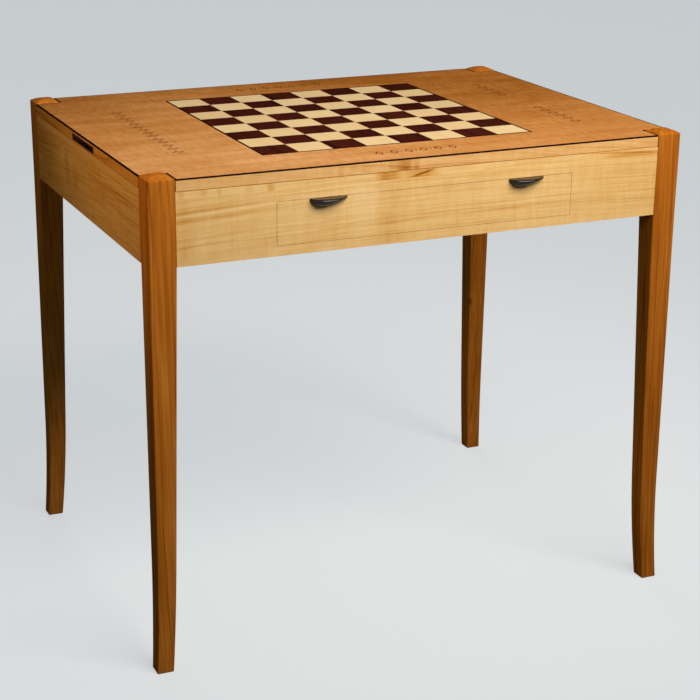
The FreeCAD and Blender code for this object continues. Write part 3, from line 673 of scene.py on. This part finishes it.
def pillow_profile():
    """From the side face up to the crown, as (scale, height, corner radius). A small arc of
    radius rim rolls the side over, touching the face and the crown's arc: its centre is
    rim inside the face and crown radius minus rim from the crown's centre. The corners soften
    on the way up and close with the crown."""
    half = LEG / 2
    crown = (half ** 2 + RISE ** 2) / (2 * RISE)
    centre_z = TOP + RISE - crown
    roll = half - RIM, centre_z + math.sqrt((crown - RIM) ** 2 - (half - RIM) ** 2)
    meeting = math.atan2(roll[1] - centre_z, roll[0])
    turn = np.linspace(0.0, meeting, 7)
    rolled = np.stack([roll[0] + RIM * np.cos(turn), roll[1] + RIM * np.sin(turn)], axis=-1)
    sweep = np.linspace(meeting, np.pi / 2 - POLE_GAP, 16)[1:]
    crowned = np.stack([crown * np.cos(sweep), centre_z + crown * np.sin(sweep)], axis=-1)
    profile = np.concatenate([rolled, crowned])
    scale = profile[:, 0] / half
    return scale, profile[:, 1], EASE * scale + CROWN_EASE * (1 - scale) * scale


print("rings in the pillow:", len(pillow_profile()[0]))

# %% Stack the rings of one leg
FOOT_EASE_HEIGHTS, FOOT_EASE = [0.0, 0.35, 1.0], [0.8, 0.3, 0.0]


def leg_rings(side_x, side_y):
    """Heights run from the eased foot to the shoulder, then up the pillow profile."""
    arc = np.linspace(6.0, KNEE, 22)
    taper = np.linspace(KNEE, SHOULDER, 12)[1:]
    above = [SHOULDER + 4.0, TOP - 20.0, TOP - 6.0]
    height = np.concatenate([FOOT_EASE_HEIGHTS, [2.5], arc, taper, above])
    scale, crown_height, crown_radius = pillow_profile()
    pinch = np.interp(height, FOOT_EASE_HEIGHTS, FOOT_EASE)
    lines = []
    for half in (HALF_LENGTH, HALF_DEPTH):
        outer = leg_line(height, half, half + SPLAY, half + FLARE) - pinch
        inner = leg_line(height, half - LEG, half + SPLAY - KNEE_WIDTH, half + FLARE - FOOT) + pinch
        middle = half - LEG / 2
        outer = np.concatenate([outer, middle + scale * LEG / 2])
        inner = np.concatenate([inner, middle - scale * LEG / 2])
        lines.append((inner, outer))
    radius = np.concatenate([np.full(height.size, EASE), crown_radius])
    rings = rounded_ring(*lines[0], *lines[1], np.concatenate([height, crown_height]), radius)
    return rings * [side_x, side_y, 1.0] + [0.0, SHIFT_Y, 0.0]


print("rings and points in a leg:", leg_rings(1, 1).shape[:2])

# %% Make the four legs
for corner, (side_x, side_y) in {"front_left": (-1, -1), "front_right": (1, -1),
                                 "back_left": (-1, 1), "back_right": (1, 1)}.items():
    skin("eased_leg_" + corner, leg_rings(side_x, side_y), "frame", "leg_" + corner,
         leg_woods[corner])

# %% [markdown]
# ## Drawer pulls
#
# Each pull is a half moon of polished ebony: a level ledge on top for the fingertips, and a
# rounded belly under it. It is skinned as rings across its length, which shrink to the blunt
# ends.


# %% A half-moon pull
END_DEPTH, END_DROP, LEAN, ROLL = 0.14, 0.33, 0.6, 0.26


def pull_rings(node):
    """At share t of the half length, depth is the full depth times the root of one minus t
    squared, and at least a seventh of it. The drop is a third at the blunt ends and grows with
    the square of that root times one minus a lean times t, as its deepest place lies left of the
    middle. Each ring runs along the ledge, over a rolled edge, and down the belly, which is a
    quarter ellipse, to the back."""
    low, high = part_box(node)
    low, high = np.array(low) / MM, np.array(high) / MM
    middle, half = (low[0] + high[0]) / 2, (high[0] - low[0]) / 2
    depth, drop = high[1] - low[1], high[2] - low[2]
    angle = np.linspace(-np.pi / 2, np.pi / 2, 41)
    share = np.sin(angle)
    size = np.maximum(np.cos(angle), END_DEPTH)
    leaning = np.cos(angle) * (1 - LEAN * share)
    fall = END_DROP + (1 - END_DROP) * (leaning / leaning.max()) ** 2
    ledge = np.stack([np.linspace(0.0, 1 - ROLL, 5), np.zeros(5)], axis=-1)
    lip_angle = np.linspace(np.pi / 2, 0.0, 5)[1:]
    lip = np.stack([1 - ROLL + ROLL * np.cos(lip_angle), ROLL * (np.sin(lip_angle) - 1)], axis=-1)
    belly_angle = np.linspace(0.0, np.pi / 2, 14)[1:]
    belly = np.stack([np.cos(belly_angle), -ROLL - (1 - ROLL) * np.sin(belly_angle)], axis=-1)
    back = np.array([[0.0, -0.66], [0.0, -0.33]])
    section = np.concatenate([ledge, lip, belly, back])
    x = np.broadcast_to((middle + half * share)[:, None], (angle.size, len(section)))
    y = high[1] - depth * size[:, None] * section[None, :, 0]
    z = high[2] + drop * fall[:, None] * section[None, :, 1]
    return np.stack([x, y, z], axis=-1)


for hand in ("left", "right"):
    skin("half_moon_pull_" + hand, pull_rings("pull_" + hand), "drawer", "pull_" + hand,
         pull_wood)

# %% [markdown]
# ## Floor, light and camera
#
# The floor is plain and pale. One large soft lamp stands in front and to the right, above the
# table, so that the front is light, the left end lies in half shade and the top falls off
# towards the back. A small lamp with a narrow grid reaches the left end only, and a low one
# behind keeps the back from going black. More lamps could light each side evenly, but one main
# direction shows the form. A weak pale surround fills the shadows.


# %% A plain floor
PAPER = colour("eef3f6")
SHADE = colour("6a7a84")
EVEN_SHARE = 0.62
FLOOR_REACH = 40.0


def seen_directly(tree):
    """1 for rays that show the backdrop itself or its mirror image, 0 for rays that gather light."""
    rays = add(tree, "ShaderNodeLightPath").outputs
    either = add(tree, "ShaderNodeMath", {0: rays["Is Camera Ray"], 1: rays["Is Glossy Ray"]},
                 operation="MAXIMUM")
    either = add(tree, "ShaderNodeMath", {0: either.outputs[0], 1: rays["Is Transmission Ray"]},
                 operation="MAXIMUM")
    return either.outputs[0]


def stage_floor():
    """The eye sees pale paper: part of it is even, and part takes the lamps and the shadows. The
    table itself is lit by the darker shade of the same paper."""
    mesh = bpy.data.meshes.new("floor")
    corners = [(x * FLOOR_REACH, y * FLOOR_REACH, 0) for x, y in ((-1, -1), (1, -1), (1, 1), (-1, 1))]
    mesh.from_pydata(corners, [], [(0, 1, 2, 3)])
    floor = bpy.data.objects.new("floor", mesh)
    bpy.context.scene.collection.objects.link(floor)
    material, tree, shader = blank_material("pale_paper_floor")
    tone = add(tree, "ShaderNodeMix", {"Factor": seen_directly(tree), 6: SHADE, 7: PAPER}, data_type="RGBA")
    tree.links.new(tone.outputs[2], shader.inputs["Base Color"])
    shader.inputs["Roughness"].default_value = 0.9
    shader.inputs["Specular IOR Level"].default_value = 0.0
    even = add(tree, "ShaderNodeEmission", {"Color": PAPER, "Strength": 1.0})
    share = add(tree, "ShaderNodeMath", {0: seen_directly(tree), 1: EVEN_SHARE}, operation="MULTIPLY")
    both = add(tree, "ShaderNodeMixShader", {0: share.outputs[0], 1: shader.outputs[0], 2: even.outputs[0]})
    tree.links.new(both.outputs[0], tree.nodes["Material Output"].inputs["Surface"])
    dress(floor, material)
    return floor


stage_floor()
print("floor reaches", FLOOR_REACH, "m each way")

# %% Lamps
def soft_lamp(name, place, target, width, height, watts, tint, spread=180.0):
    """A rectangular area lamp at place that faces target. A grid in front of it narrows its
    light to a cone of spread degrees."""
    data = bpy.data.lights.new(name, "AREA")
    data.shape = "RECTANGLE"
    data.size = width
    data.size_y = height
    data.energy = watts
    data.color = colour(tint)[:3]
    data.spread = math.radians(spread)
    lamp = bpy.data.objects.new(name, data)
    lamp.location = place
    direction = np.array(target) - np.array(place)
    lamp.rotation_euler = Vector(direction).to_track_quat("-Z", "Y").to_euler()
    bpy.context.scene.collection.objects.link(lamp)
    print(name, "lamp:", watts, "W,", width, "by", height, "m")
    return lamp


soft_lamp("key", (0.45, -1.45, 1.9), (0.15, 0.4, 1.1), 1.6, 1.0, 27.5, "fff2e4", 120.0)
soft_lamp("side", (-1.78, -0.18, 1.3), (-0.43, -0.2, 1.05), 0.4, 0.4, 1.35, "ffd4a0", 50.0)
soft_lamp("back", (0.3, 2.8, 0.75), (0.0, 0.3, 0.62), 1.6, 0.6, 5.0, "fff6ec", 64.0)

# %% Surround
SURROUND_LIGHT, SURROUND_SEEN = 0.15, 0.68
world = bpy.data.worlds.new("surround")
bpy.context.scene.world = world
world.use_nodes = True
sky = world.node_tree
sky.nodes.clear()
fill = add(sky, "ShaderNodeBackground", {"Color": colour("d6e4e8"), "Strength": SURROUND_LIGHT})
shown = add(sky, "ShaderNodeBackground", {"Color": PAPER, "Strength": SURROUND_SEEN})
both = add(sky, "ShaderNodeMixShader", {0: seen_directly(sky), 1: fill.outputs[0], 2: shown.outputs[0]})
add(sky, "ShaderNodeOutputWorld", {"Surface": both.outputs[0]})
bpy.context.scene.view_settings.view_transform = "Standard"
print("the surround shows at", SURROUND_SEEN, "and lights at", SURROUND_LIGHT)

# %% [markdown]
# The camera stands in front and to the left, half a metre above the top, and looks down on it.
# A long lens keeps the legs nearly upright in the picture.

# %% Camera
view = bpy.data.cameras.new("camera")
view.sensor_width = 36.0
view.lens = 90.472
view.shift_x = 0.0495
view.shift_y = 0.0707
view.clip_end = 200.0
camera = bpy.data.objects.new("camera", view)
camera.location = (-1.13429, -2.56802, 1.31102)
camera.rotation_euler = [math.radians(a) for a in (69.6065, -0.1852, -22.9007)]
bpy.context.scene.collection.objects.link(camera)
bpy.context.scene.camera = camera
print("lens", view.lens, "mm at", tuple(round(v, 2) for v in camera.location), "m")
